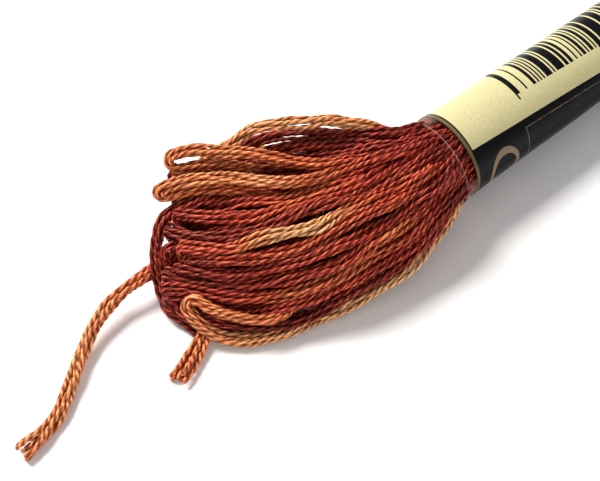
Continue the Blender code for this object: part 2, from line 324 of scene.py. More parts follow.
def yarn_mesh(name, yarns, material):
    """One mesh of many yarns, with rounded ends, a map along and round them, and their dye."""
    corners, dyes, tints, quads, lengths, rounds = [], [], [], [], [], []
    caps = []
    base = 0
    for shell, places, marks, tint in yarns:
        count, sides = shell.shape[:2]
        for end, inner in ((0, 1), (-1, -2)):
            middle = shell[end].mean(axis=0)
            outward = middle - shell[inner].mean(axis=0)
            shell[end] = middle + (shell[end] - middle) * 0.55 + outward * 0.1
        corners.append(shell.reshape(-1, 3))
        dyes.append(np.repeat(marks, sides))
        tints.append(np.full(count * sides, tint))
        ring = np.arange(count - 1)[:, None] * sides
        side = np.arange(sides)[None]
        following = (side + 1) % sides
        quad = np.stack([ring + side, ring + following, ring + sides + following,
                         ring + sides + side], axis=-1)
        quads.append(base + quad.reshape(-1, 4))
        here = np.repeat(places[:-1], sides)
        there = np.repeat(places[1:], sides)
        lengths.append(np.column_stack([here, here, there, there]))
        left = np.tile(np.arange(sides) / sides, count - 1)
        rounds.append(np.column_stack([left, left + 1 / sides, left + 1 / sides, left]))
        caps.append(base + np.arange(sides)[::-1])
        caps.append(base + (count - 1) * sides + np.arange(sides))
        base += count * sides
    corners = np.vstack(corners) * MM
    quads = np.vstack(quads)
    lengths = np.vstack(lengths)
    rounds = np.vstack(rounds)
    cap_corners = np.concatenate(caps)
    loop_verts = np.concatenate([quads.ravel(), cap_corners])
    sizes = np.concatenate([np.full(len(quads), 4), [len(cap) for cap in caps]])
    starts = np.concatenate([[0], np.cumsum(sizes)[:-1]])
    mesh = bpy.data.meshes.new(name)
    mesh.vertices.add(len(corners))
    mesh.vertices.foreach_set("co", corners.ravel())
    mesh.loops.add(len(loop_verts))
    mesh.loops.foreach_set("vertex_index", loop_verts.astype(np.int32))
    mesh.polygons.add(len(sizes))
    mesh.polygons.foreach_set("loop_start", starts.astype(np.int32))
    mesh.polygons.foreach_set("loop_total", sizes.astype(np.int32))
    mesh.polygons.foreach_set("use_smooth", np.ones(len(sizes), bool))
    flat = np.column_stack([lengths.ravel(), rounds.ravel()])
    flat = np.vstack([flat, np.zeros((len(cap_corners), 2))])
    mesh.uv_layers.new(name="yarn").data.foreach_set("uv", flat.ravel().astype(np.float32))
    for label, values in (("dye", np.concatenate(dyes)), ("tint", np.concatenate(tints))):
        marks = mesh.attributes.new(label, "FLOAT", "POINT")
        marks.data.foreach_set("value", values.astype(np.float32))
    mesh.update()
    mesh.materials.append(material)
    piece = bpy.data.objects.new(name, mesh)
    bpy.context.scene.collection.objects.link(piece)
    return piece


LONG_END_ROUTE = (
    (-0.0994, 0.0007, 0.0008), (-0.0941, 0.0017, 0.0008), (-0.0895, 0.0041, 0.0010),
    (-0.0848, 0.0074, 0.0015), (-0.0811, 0.0092, 0.0020), (-0.0765, 0.0104, 0.0027),
    (-0.0708, 0.0100, 0.0033), (-0.0672, 0.0092, 0.0036), (-0.0636, 0.0080, 0.0037),
)
SHORT_END_ROUTE = (
    (-0.0786, -0.0032, 0.0008), (-0.0762, -0.0024, 0.0008), (-0.0717, -0.0004, 0.0008),
    (-0.0675, 0.0012, 0.0008), (-0.0610, 0.0024, 0.0008), (-0.0545, 0.0028, 0.0008),
    (-0.0470, 0.0027, 0.0008),
)
LOOSE_ENDS = {
    "long_end": {"route": LONG_END_ROUTE, "exit": LONG_END_ROUTE[6], "seed": 5, "stagger": 1.6,
                 "dye": (0.66, 0.70, 0.75, 0.74, 0.68, 0.58, 0.40, 0.28),
                 "opening": (0.34, 0.05, 0.0, 0.0, 0.0, 0.0, 0.0, 0.0)},
    "short_end": {"route": SHORT_END_ROUTE, "exit": SHORT_END_ROUTE[5], "seed": 12, "stagger": 1.3,
                  "dye": (0.58, 0.64, 0.58, 0.35, 0.25, 0.2, 0.2),
                  "opening": (0.34, 0.10, 0.0, 0.0, 0.0, 0.0, 0.0)},
}
LOOSE_END_SPACING = 0.2                # mm between rings
LOOSE_FULLNESS = 1.3
LOOSE_SQUASH = (0.86, 0.80, 0.80)      # of the yarns' places, from the cut tip

lying_ends = []
for node, end in LOOSE_ENDS.items():
    rng = np.random.default_rng(end["seed"])
    route = np.array(end["route"]) / MM
    yarns, centre = twist_yarns(rng, route, end["dye"], LOOSE_END_SPACING,
                                opening=end["opening"], stagger=end["stagger"],
                                squash=LOOSE_SQUASH, fullness=LOOSE_FULLNESS)
    for shell, *_ in yarns:
        shell[..., 2] = np.maximum(shell[..., 2], SURFACE_GAP)
    piece = yarn_mesh(f"{node}_floss", yarns, cotton)
    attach(piece, "root")
    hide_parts(node)
    length = path_length(centre)
    [tuple(p) for p in smooth_path(route, 40) * MM]
    lying_ends.append(smooth_path(route, int(length)))
lying_ends = np.vstack(lying_ends)


# ------------------------------------------------------------ near loops
# The shown fan: twenty-nine loops of the floss, each out of the sleeve, round and back in.
# They are laid as the tables below say, then settled against each other, the surface and
# the sleeve until they share as little room as they can.
FLOSS_RADIUS = 0.74                    # mm, in the fan
MOUTH_RADIUS = 0.62                    # mm, where the sleeve squeezes the floss
SLEEVE_WALL = 0.35
# Where the legs go in the sleeve: rings round its axis, each a radius in mm and a number.
SLOT_RINGS = ((0.0, 1), (1.18, 6), (2.36, 12), (3.54, 18), (4.72, 24))
FAN_HALF_HEIGHT = 4.6
SIDE_TO_SLOT, HEIGHT_TO_SLOT = 0.42, 1.05   # how a leg's place in the fan shrinks to its slot
TUCKED = 3.2                           # mm that each leg is built inside the sleeve's film
LOOP_POINTS = 92
TIP_REACH = 1.1                        # mm that a laid leg goes on before it turns back

# Loops whose two legs both show, as points: out past the print's edge, side from the
# sleeve's axis, height. In order: the high arch, the two that stand off behind, the front
# one on the surface, and the one that hangs round the tips.
STANDING_LOOPS = (
    {"dye": (0.62, 0.72, 0.82, 0.84, 0.80, 0.90, 1.0, 1.0, 0.90, 0.20, 0.10, 0.10),
     "route": ((2.2, 2.0, 10.2), (4.7, 4.2, 10.7), (7.5, 6.4, 11.7), (10.0, 7.9, 12.9),
               (11.8, 9.2, 13.8), (14.8, 11.5, 14.2), (18.3, 14.1, 13.9), (20.4, 15.4, 13.0),
               (22.0, 16.1, 11.4), (23.4, 17.1, 9.6), (25.0, 17.8, 8.2), (26.0, 18.1, 7.0),
               (26.1, 17.7, 5.8), (25.4, 17.3, 5.2), (24.4, 17.3, 6.0), (23.4, 17.4, 7.0),
               (22.1, 17.2, 7.6), (19.5, 15.8, 8.0), (15.3, 11.4, 7.6), (10.2, 8.0, 7.8),
               (4.2, 4.0, 8.4), (1.1, 1.7, 8.8))},
    {"dye": (0.16, 0.22, 0.42, 0.64, 0.66, 0.64, 0.60, 0.52, 0.34, 0.2),
     "route": ((2.0, 0.8, 10.8), (10.8, 3.6, 11.3), (14.7, 4.8, 11.7), (18.0, 7.7, 12.2),
               (21.9, 12.8, 12.4), (26.1, 17.3, 12.0), (29.4, 19.7, 11.4), (29.6, 18.9, 10.4),
               (27.4, 17.0, 10.2), (20.8, 12.1, 9.8), (16.7, 9.0, 9.4), (6.1, 2.3, 10.0),
               (2.1, 0.2, 10.0))},
    {"dye": (0.18, 0.24, 0.44, 0.74, 0.70, 0.60, 0.48, 0.30, 0.2, 0.15),
     "route": ((2.3, -0.2, 10.8), (8.5, 1.5, 11.4), (14.9, 3.7, 11.8), (19.6, 5.8, 12.0),
               (23.5, 8.9, 12.0), (27.0, 12.5, 11.8), (30.7, 15.8, 11.2), (33.4, 17.0, 10.6),
               (33.4, 16.2, 9.8), (30.7, 14.6, 9.6), (27.2, 12.4, 9.6), (22.8, 9.2, 9.4),
               (16.9, 5.1, 9.2), (10.0, 1.7, 9.8), (2.7, -0.7, 10.0))},
    {"dye": (1.0, 1.0, 1.0, 0.98, 0.90, 0.80, 0.62, 0.66, 0.80, 0.74, 0.50, 0.4),
     "route": ((1.1, -5.1, 5.6), (4.2, -6.0, 5.0), (10.2, -7.7, 3.9), (15.0, -8.1, 3.0),
               (19.9, -7.7, 2.2), (24.6, -6.5, 1.6), (27.9, -5.4, 1.3), (32.3, -3.9, 1.1),
               (35.6, -2.1, 1.1), (37.7, 0.4, 1.4), (38.5, 3.0, 2.2), (38.3, 5.2, 3.2),
               (37.4, 4.8, 4.0), (37.0, 2.1, 4.1), (35.8, 0.1, 3.9), (33.0, -2.2, 3.6),
               (29.7, -3.4, 3.4), (24.0, -3.2, 3.0), (13.9, -2.6, 3.0), (1.4, -3.0, 4.6))},
    {"dye": (0.30, 0.34, 0.36, 0.28, 0.20, 0.12, 0.10, 0.16, 0.2, 0.2),
     "route": ((2.0, 0.6, 9.6), (12.0, 4.4, 9.6), (20.0, 8.0, 9.2), (28.0, 11.8, 8.8),
               (33.4, 14.4, 8.2), (36.4, 13.4, 6.8), (37.9, 11.8, 4.5), (38.7, 9.6, 2.8),
               (39.6, 6.7, 1.6), (39.3, 4.4, 0.9), (38.0, 1.6, 0.8), (33.0, 0.4, 0.8),
               (20.0, -2.0, 1.6), (2.0, -2.4, 3.6))},
)
# Loops of which one leg shows, on the top of the fan, from the mouth to its tip. The other
# leg comes back under it.
TOP_LEGS = (
    {"dye": (0.22, 0.14, 0.10, 0.08, 0.14, 0.2),
     "leg": ((1.6, 1.3, 10.6), (4.9, 3.7, 11.0), (9.0, 6.8, 11.4), (12.7, 9.9, 11.6),
             (15.7, 12.2, 11.6), (18.7, 14.2, 10.8), (20.6, 15.3, 9.8), (21.8, 16.1, 8.4))},
    {"dye": (0.30, 0.20, 0.12, 0.10, 0.18, 0.3),
     "leg": ((1.7, 0.8, 10.4), (5.6, 2.9, 11.0), (10.7, 6.5, 11.4), (14.9, 9.5, 11.4),
             (17.9, 11.8, 10.8), (20.2, 13.3, 9.8), (22.4, 14.9, 8.0))},
    {"dye": (0.24, 0.26, 0.28, 0.18, 0.12, 0.2),
     "leg": ((1.9, 0.2, 10.5), (6.6, 1.8, 11.0), (11.6, 4.7, 11.0), (14.8, 7.6, 10.4),
             (18.4, 10.9, 9.6), (21.9, 13.6, 8.8), (25.6, 16.2, 7.6))},
    {"dye": (0.22, 0.16, 0.12, 0.08, 0.06, 0.08, 0.1),
     "leg": ((1.8, 0.2, 10.2), (8.9, 2.9, 10.3), (14.6, 5.9, 10.2), (18.9, 8.6, 9.8),
             (22.7, 11.9, 9.4), (26.2, 15.5, 8.8), (28.3, 17.8, 8.2))},
    {"dye": (0.18, 0.16, 0.14, 0.14, 0.22, 0.36, 0.40, 0.36),
     "leg": ((2.2, -0.1, 9.6), (8.1, 1.9, 9.8), (14.7, 3.9, 10.0), (19.2, 6.3, 9.9),
             (23.2, 9.2, 9.8), (26.0, 11.8, 9.6), (28.3, 13.9, 9.3), (30.4, 15.5, 9.0)),
     "reach": 0.5},
    {"dye": (0.24, 0.30, 0.38, 0.46, 0.50, 0.42, 0.3),
     "leg": ((2.2, -0.1, 10.6), (6.1, 1.0, 11.0), (11.1, 1.8, 11.2), (16.4, 3.3, 11.2),
             (19.9, 4.2, 11.0), (22.9, 5.9, 10.4), (26.0, 9.0, 9.6), (30.3, 13.6, 8.6))},
    {"dye": (0.28, 0.24, 0.26, 0.38, 0.48, 0.38, 0.24),
     "leg": ((0.9, -0.6, 10.6), (3.7, -0.1, 10.9), (9.1, 0.2, 11.2), (14.8, 1.3, 11.2),
             (19.1, 2.6, 11.2), (22.5, 3.7, 10.9), (26.9, 6.1, 10.2), (30.6, 10.0, 9.4),
             (32.3, 12.8, 8.6))},
    {"dye": (0.30, 0.26, 0.36, 0.34, 0.24, 0.20, 0.2),
     "leg": ((2.5, -1.8, 10.5), (7.5, -1.6, 11.0), (13.2, -0.6, 11.2), (18.2, 1.2, 11.2),
             (23.5, 2.6, 10.8), (28.1, 4.7, 10.0), (31.6, 6.9, 9.2), (34.0, 9.8, 8.4),
             (34.4, 12.0, 7.6))},
    {"dye": (0.34, 0.60, 0.56, 0.40, 0.60, 0.98, 0.92, 0.60, 0.54),
     "leg": ((3.5, -3.4, 10.4), (6.2, -2.8, 10.7), (10.7, -2.3, 11.0), (16.1, -1.5, 11.0),
             (21.4, -0.1, 10.7), (25.1, 1.8, 10.2), (29.9, 3.8, 9.6), (33.4, 6.1, 8.8),
             (34.9, 8.2, 8.0))},
)
# The lowest leg of the front flank, above the loop on the surface, and the dyes of the legs
# that fill the flank between it and the last of the top legs.
LOW_LEG = {"dye": (0.30, 0.22, 0.26, 0.16, 0.10, 0.14), "reach": 3.2,
           "leg": ((2.6, -5.5, 6.6), (5.8, -6.4, 5.8), (11.6, -7.6, 4.6), (17.2, -7.7, 3.8),
                   (22.1, -6.9, 3.3), (26.5, -5.8, 2.8), (29.6, -4.4, 2.6), (32.8, -2.5, 2.4),
                   (35.6, 0.1, 2.4), (36.9, 2.8, 2.8))}
FLANK_DYES = (
    (0.22, 0.30, 0.44, 0.46, 0.50, 0.34),
    (0.20, 0.16, 0.20, 0.30, 0.22, 0.16),
    (0.36, 0.52, 0.54, 0.34, 0.22, 0.18),
    (0.14, 0.20, 0.44, 0.58, 0.46, 0.26),
    (0.16, 0.12, 0.24, 0.38, 0.30, 0.20),
)
FLANK_BULGE = (0.0, -1.1, 1.0)         # mm, half way down the flank
FLANK_REACH = (1.1, 2.2, 4.6, 5.2, 4.4)
# The colour is darker near the mouth and at the tip: shares of a leg, and of its own dye there.
DARKER_AT_ENDS = ((0.0, 0.15, 0.3, 0.75, 1.0), (0.25, 0.52, 1.0, 1.0, 0.65))
# The loops inside. Each has its upper leg's end, its lower leg's end, the way it heads there
# in degrees from the sleeve's axis, how far its legs swell sideways, and its dye from the
# upper leg's mouth, round the end, to the lower leg's mouth.
LOOP_ROWS = (
    {"upper": (36.6, 12.0, 7.2), "lower": (37.6, 9.6, 1.6), "turn": 38, "swell": 0.0,
     "dye": (0.15, 0.12, 0.20, 0.2, 0.2)},
    {"upper": (38.2, 8.0, 4.4), "lower": (38.4, 5.4, 1.0), "turn": 36, "swell": 0.0,
     "dye": (0.3, 0.30, 0.24, 0.2, 0.2)},
    {"upper": (38.4, 6.0, 3.2), "lower": (37.6, 1.9, 1.0), "turn": 32, "swell": 0.0,
     "dye": (0.3, 0.3, 0.22, 0.2, 0.3)},
    {"upper": (32.0, 12.0, 6.0), "lower": (33.0, 11.0, 2.0), "turn": 34, "swell": 0.5,
     "dye": (0.15, 0.2, 0.2, 0.2, 0.2)},
    {"upper": (33.4, 5.2, 6.5), "lower": (33.0, 4.2, 1.5), "turn": 30, "swell": -0.5,
     "dye": (0.2, 0.3, 0.2, 0.2, 0.2)},
    {"upper": (28.0, 12.0, 8.0), "lower": (28.0, 13.0, 1.0), "turn": 32, "swell": 0.6,
     "dye": (0.2, 0.3, 0.26, 0.1, 0.1)},
    {"upper": (33.4, 13.4, 7.0), "lower": (34.0, 12.4, 3.0), "turn": 36, "swell": 0.4,
     "dye": (0.2, 0.2, 0.16, 0.1, 0.1)},
    {"upper": (19.5, 12.0, 9.2), "lower": (21.0, 12.0, 3.0), "turn": 30, "swell": 1.4,
     "dye": (0.1, 0.1, 0.1, 0.1, 0.1)},
    {"upper": (30.5, 8.5, 8.2), "lower": (30.0, 8.0, 2.4), "turn": 32, "swell": 0.6,
     "dye": (0.2, 0.24, 0.22, 0.1, 0.1)},
)

LEAVE_PULL, ARRIVE_PULL = 0.95, 0.75   # how straight a leg starts and ends
BENEATH = (0.97, 0.55, 0.40)           # shares of a top leg's out, side and height
BENEATH_SHIFT = (0.0, 0.4, 0.4)        # mm
BENEATH_AT_MOUTH = (0, 0, 3.0)         # mm that the leg beneath lies lower there
BEND_LEAST, BEND_SHARE = 0.8, 0.4      # mm, and share of the half gap, that a bend stands out
LAY_WANDER = (16, 0.26)                # points, and mm, that a laid loop strays
HELD_POINTS, EASED_POINTS = 4, 8       # at each end of a loop
OVERLAP_PUSH = 0.42                    # of an overlap, taken away in one round
BEND_BACK = 0.28                       # of a lost bend, given back in one round
FREE_HOLD, SHOWN_HOLD = 0.01, 0.08     # of the way back to where the loop was laid
FREE_BEND, SHOWN_BEND = 0.75, 0.95     # of the laid bends, kept

rng = np.random.default_rng(31)


def mouth_slots():
    """Places for legs in the sleeve's mouth, side and height from its axis."""
    slots = []
    for ring, (radius, count) in enumerate(SLOT_RINGS):
        for i in range(count):
            angle = math.tau * (i + 0.5 * (ring % 2)) / count
            slots.append((radius * math.cos(angle), radius * math.sin(angle)))
    return np.array(slots)


def share_slots(wanted):
    """A slot for each leg: the outermost legs choose first, each the nearest one left."""
    slots = mouth_slots()
    free = np.ones(len(slots), bool)
    chosen = np.zeros((len(wanted), 2))
    for leg in np.argsort(-np.hypot(*wanted.T)):
        gaps = np.hypot(*(slots - wanted[leg]).T) + 1e9 * ~free
        best = int(np.argmin(gaps))
        free[best] = False
        chosen[leg] = slots[best]
    return chosen


def laid_leg(slot, end, heading, swell):
    """A leg from its slot in the mouth to where its loop turns, in fan coordinates."""
    start = np.array((0.0, slot[0], AXIS_Z + slot[1]))
    end = np.asarray(end, float)
    reach = np.linalg.norm(end - start)
    outward = np.array((1.0, 0.0, 0.0)) * reach * LEAVE_PULL
    t = np.linspace(0, 1, 24)[:, None]
    curve = ((2 * t ** 3 - 3 * t ** 2 + 1) * start + (t ** 3 - 2 * t ** 2 + t) * outward
             + (3 * t ** 2 - 2 * t ** 3) * end + (t ** 3 - t ** 2) * heading * reach * ARRIVE_PULL)
    curve[:, 1] += swell * np.sin(math.pi * t[:, 0]) ** 2
    return curve


def leg_beneath(leg):
    """The way back of a loop whose outward leg lies on the fan's surface."""
    core = leg * BENEATH + BENEATH_SHIFT
    inward = np.minimum(1, 3 * np.linspace(0, 1, len(leg))[:, None])
    return core * inward + (leg - BENEATH_AT_MOUTH) * (1 - inward)


def flank_legs():
    """Legs that fill the front flank, between the last top leg and the lowest leg."""
    count = len(FLANK_DYES)
    high = smooth_path(TOP_LEGS[-1]["leg"], 10)
    low = smooth_path(LOW_LEG["leg"], 10)
    legs = []
    for k, dye in enumerate(FLANK_DYES):
        share = (k + 1) / (count + 1)
        bulge = np.outer(np.sin(np.linspace(0.15, 1, 10) * math.pi), FLANK_BULGE)
        leg = high + (low - high) * share + bulge * math.sin(math.pi * share)
        legs.append({"dye": dye, "leg": leg, "reach": FLANK_REACH[k]})
    return legs + [LOW_LEG]


def inner_stub(slot):
    """The end of a leg, hidden in the sleeve."""
    return np.array([(-TUCKED, slot[0], AXIS_Z + slot[1])])


def turned_end(upper, lower, heading):
    """The bend of a loop: half an oval from the upper leg's end to the lower leg's."""
    middle = (upper + lower) / 2
    half = (upper - lower) / 2
    bulge = heading * max(BEND_LEAST, np.linalg.norm(half) * BEND_SHARE)
    angles = np.linspace(0, math.pi, 9)[1:-1]
    return np.array([middle + half * math.cos(a) + bulge * math.sin(a) for a in angles])


def laid_loops(rows, standing, shown, centre):
    """All loops of a fan as paths in fan coordinates: out, side, height.

    centre is the side, in mm, of the middle of the fan's tips.
    """
    routes = []
    for loop in shown:
        leg = np.array(loop["leg"], float)
        back = leg_beneath(leg)
        heading = leg[-1] - leg[-2]
        heading = heading / np.linalg.norm(heading) * (1, 1, 0.3)
        reach = heading * loop.get("reach", TIP_REACH)
        leg = np.vstack([leg, leg[-1] + reach])
        back = np.vstack([back, back[-1] + reach])
        routes.append(np.vstack([leg, turned_end(leg[-1], back[-1], heading), back[::-1]]))
    routes += [np.array(loop["route"]) for loop in standing]
    wanted = []
    for row in rows:
        for name in ("upper", "lower"):
            out, side, height = row[name]
            wanted.append(((side - centre) * SIDE_TO_SLOT,
                           (height - FAN_HALF_HEIGHT) * HEIGHT_TO_SLOT))
    for route in routes:
        for point in (route[0], route[-1]):
            wanted.append((point[1], point[2] - AXIS_Z))
    slots = share_slots(np.array(wanted))
    paths = []
    for i, row in enumerate(rows):
        first, last = slots[2 * i], slots[2 * i + 1]
        turn = math.radians(row["turn"])
        heading = np.array((math.cos(turn), math.sin(turn), -0.12))
        upper = laid_leg(first, row["upper"], heading, row["swell"])
        lower = laid_leg(last, row["lower"], heading, row["swell"])
        bend = turned_end(upper[-1], lower[-1], heading)
        paths.append(np.vstack([inner_stub(first), upper, bend, lower[::-1], inner_stub(last)]))
    for i, route in enumerate(routes):
        first, last = slots[2 * (len(rows) + i)], slots[2 * (len(rows) + i) + 1]
        paths.append(np.vstack([inner_stub(first), (0, first[0], AXIS_Z + first[1]), route[1:-1],
                                (0, last[0], AXIS_Z + last[1]), inner_stub(last)]))
    paths = np.array([smooth_path(path, LOOP_POINTS) for path in paths])
    steps = np.arange(LOOP_POINTS) * 1.0
    from_end = np.minimum(steps, steps[::-1])
    ease = np.minimum(1, np.maximum(0, from_end - HELD_POINTS) / EASED_POINTS)
    for path in paths:
        path[:, 1] += wander(rng, steps, *LAY_WANDER) * ease
        path[:, 2] += wander(rng, steps, *LAY_WANDER) * ease
    return paths


def settle(paths, obstacles, rounds, standing=0, drop=0.012):
    """Push floss out of floss, the surface and the sleeve, keeping lengths and soft bends.

    The last paths, as many as are standing, keep close to where they are laid.
    """
    loops, count = paths.shape[:2]
    laid = paths.copy()
    lengths = np.linalg.norm(np.diff(paths, axis=1), axis=2)
    hold = np.full((loops, 1, 1), FREE_HOLD)
    hold[loops - standing:] = SHOWN_HOLD
    kept = np.where(hold == SHOWN_HOLD, SHOWN_BEND, FREE_BEND)
    bends = (paths[:, 2:] + paths[:, :-2] - 2 * paths[:, 1:-1]) * kept
    loop_of = np.repeat(np.arange(loops), count)
    index_of = np.tile(np.arange(count), loops)
    held = np.zeros(count)
    held[:HELD_POINTS] = held[-HELD_POINTS:] = 1
    free = (1 - held)[None, :, None]
    for _ in range(rounds):
        out = paths[..., 0]
        radii = np.interp(out, (-1, 5), (MOUTH_RADIUS, FLOSS_RADIUS))
        flat = paths.reshape(-1, 3)
        flat_radii = radii.reshape(-1)
        squares = (flat ** 2).sum(axis=1)
        gaps = squares[:, None] + squares[None] - 2 * flat @ flat.T
        first, second = np.nonzero(gaps < (2 * FLOSS_RADIUS) ** 2)
        near = (first < second) & ((loop_of[first] != loop_of[second])
                                   | (np.abs(index_of[first] - index_of[second]) > HELD_POINTS))
        first, second = first[near], second[near]
        between = flat[first] - flat[second]
        distance = np.maximum(np.linalg.norm(between, axis=1), 1e-3)
        overlap = np.maximum(flat_radii[first] + flat_radii[second] - distance, 0)
        push = between / distance[:, None] * (overlap * 0.5 * OVERLAP_PUSH)[:, None]
        move = np.zeros_like(flat)
        for k in range(3):
            move[:, k] += np.bincount(first, push[:, k], len(flat))
            move[:, k] -= np.bincount(second, push[:, k], len(flat))
        if len(obstacles):
            offset = flat[:, None] - obstacles[None]
            away = np.maximum(np.linalg.norm(offset, axis=2), 1e-3)
            inside = np.maximum(flat_radii[:, None] + FLOSS_RADIUS - away, 0)
            move += (offset / away[..., None] * (inside * 0.5)[..., None]).sum(axis=1)
        paths = paths + move.reshape(paths.shape) * free
        bend = paths[:, 2:] + paths[:, :-2] - 2 * paths[:, 1:-1]
        paths[:, 1:-1] += (bend - bends) * BEND_BACK * free[:, 1:-1]
        paths += (laid - paths) * hold * free
        paths[..., 2] -= drop * free[..., 0]
        for parity in (0, 1):
            a = paths[:, parity:-1:2]
            b = paths[:, parity + 1::2]
            pairs = min(a.shape[1], b.shape[1])
            a, b = a[:, :pairs], b[:, :pairs]
            span = b - a
            far = np.linalg.norm(span, axis=2)
            change = (far - lengths[:, parity::2][:, :pairs]) / np.maximum(far, 1e-6) * 0.5
            shift = span * change[..., None]
            weight = free[:, parity:-1:2][:, :pairs]
            a += shift * weight
            b -= shift * free[:, parity + 1::2][:, :pairs]
        paths[..., 2] = np.maximum(paths[..., 2], radii)
        inside_sleeve = paths[..., 0] < CLEAR_MARGIN
        y, z = paths[..., 1], paths[..., 2] - AXIS_Z
        from_axis = np.maximum(np.hypot(y, z), 1e-6)
        room = SLEEVE_RADIUS - SLEEVE_WALL - radii
        shrink = np.where(inside_sleeve & (from_axis > room), room / from_axis, 1.0)
        paths[..., 1] = y * shrink
        paths[..., 2] = z * shrink + AXIS_Z
    return paths


def fan_to_row(path, edge_x, outward):
    """Fan coordinates (out, side, height) to the skein's own, in mm."""
    return np.column_stack([edge_x + outward * path[:, 0], AXIS_Y + path[:, 1], path[:, 2]])


def fan_yarns(rng, paths, dyes, edge_x, outward, spacing, sides):
    """The six yarns of each loop, finer where the sleeve squeezes them."""
    loops = []
    for path, dye in zip(paths, dyes):
        squash = np.interp(path[:, 0], (-1, 5, 14), (0.84, 1.0, 1.10))
        yarns, _ = twist_yarns(rng, fan_to_row(path, edge_x, outward), dye, spacing,
                               squash=squash, sides=sides)
        for shell, *_ in yarns:
            shell[..., 2] = np.maximum(shell[..., 2], SURFACE_GAP)
        loops.append(yarns)
    return loops


def add_fan(name, fan, groups):
    """The loops of a fan, dealt out to a few pieces."""
    for group in range(groups):
        chosen = [yarn for yarns in fan[group::groups] for yarn in yarns]
        piece = yarn_mesh(f"{name}_{group + 1}", chosen, cotton)
        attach(piece, "root")
        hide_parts("hank")


NEAR_SPACING = 0.32                    # mm between rings of a yarn
NEAR_GROUPS = 4
NEAR_CENTRE = 1.9                      # mm to the side, of the middle of the tips
NEAR_ROUNDS = 160
ends_in_fan = np.column_stack([NEAR_PRINT_X - lying_ends[:, 0], lying_ends[:, 1] - AXIS_Y,
                               lying_ends[:, 2]])
shown = list(TOP_LEGS) + flank_legs()
near_paths = settle(laid_loops(LOOP_ROWS, STANDING_LOOPS, shown, NEAR_CENTRE), ends_in_fan,
                    NEAR_ROUNDS, standing=len(STANDING_LOOPS) + len(shown))
near_dyes = [row["dye"] for row in LOOP_ROWS]
for loop in shown:
    along = np.linspace(0, 1, len(loop["dye"]))
    dye = np.array(loop["dye"]) * np.interp(along, *DARKER_AT_ENDS)
    near_dyes.append((*dye, *dye[::-1]))
near_dyes += [loop["dye"] for loop in STANDING_LOOPS]
near_yarns = fan_yarns(rng, near_paths, near_dyes, NEAR_PRINT_X, -1,
                       NEAR_SPACING * (1), YARN_SIDES)
add_fan("near_loops", near_yarns, NEAR_GROUPS)


# ------------------------------------------------------------- far loops
# The other fan: the same floss, loop for loop, leaning to the other side.
FAR_SPACING = 0.75                     # mm between rings of a yarn
FAR_SIDES = 5
FAR_GROUPS = 2
FAR_CENTRE = -5.0
FAR_REACH = 43.2                       # mm from the print's edge to the longest loop's bend
FAR_HALF_WIDTH = 8.0                   # mm across the tips, from their middle
FAR_ROUNDEDNESS = 7.5                  # mm that the outermost loops are shorter
FAR_ROUNDS = 90


def far_rows(rng, count):
    """Loops whose tips lie on a rounded front, upper legs over lower ones."""
    rows = []
    for loop in range(count):
        share = (loop + 0.5) / count * 2 - 1
        side = FAR_CENTRE + FAR_HALF_WIDTH * share
        out = FAR_REACH - FAR_ROUNDEDNESS * abs(share) ** 2.2 - rng.uniform(0, 3.0)
        height = rng.uniform(3.5, 9.0) - 1.5 * share ** 2
        lower = (out + rng.uniform(-1.5, 1.0), side + rng.uniform(-2.2, 2.2),
                 rng.uniform(0.9, 2.6))
        dye = rng.uniform(0.1, 0.5)
        drift = np.clip(dye + np.cumsum(rng.normal(0, 0.16, 5)), 0.08, 0.92)
        rows.append({"upper": (out, side, height), "lower": lower, "dye": tuple(drift),
                     "turn": math.degrees(math.atan2(side * 1.3, out)),
                     "swell": rng.uniform(-0.6, 0.6)})
    return rows


rows = far_rows(rng, len(near_paths))
far_paths = settle(laid_loops(rows, (), (), FAR_CENTRE), np.zeros((0, 3)), FAR_ROUNDS)
far_yarns = fan_yarns(rng, far_paths, [row["dye"] for row in rows], FAR_PRINT_X, 1,
                      FAR_SPACING * (1), FAR_SIDES)
add_fan("far_loops", far_yarns, FAR_GROUPS)


# ---------------------------------------------------------- stray fibres
# Cotton fibres that have worked loose from the yarns and stand out from them as a thin fuzz.
FIBRE_RADIUS = 0.020                   # mm
FIBRE_SIDES = 3
FIBRE_POINTS = 4
FIBRE_LENGTH = (0.4, 1.9)              # mm
FIBRE_DYE, FIBRE_TINT = 0.2, 0.9       # lighter than the yarn's dye, and of the lightest tint
FIBRES_PER_NEAR_YARN, FIBRES_PER_FAR_YARN = 30, 5


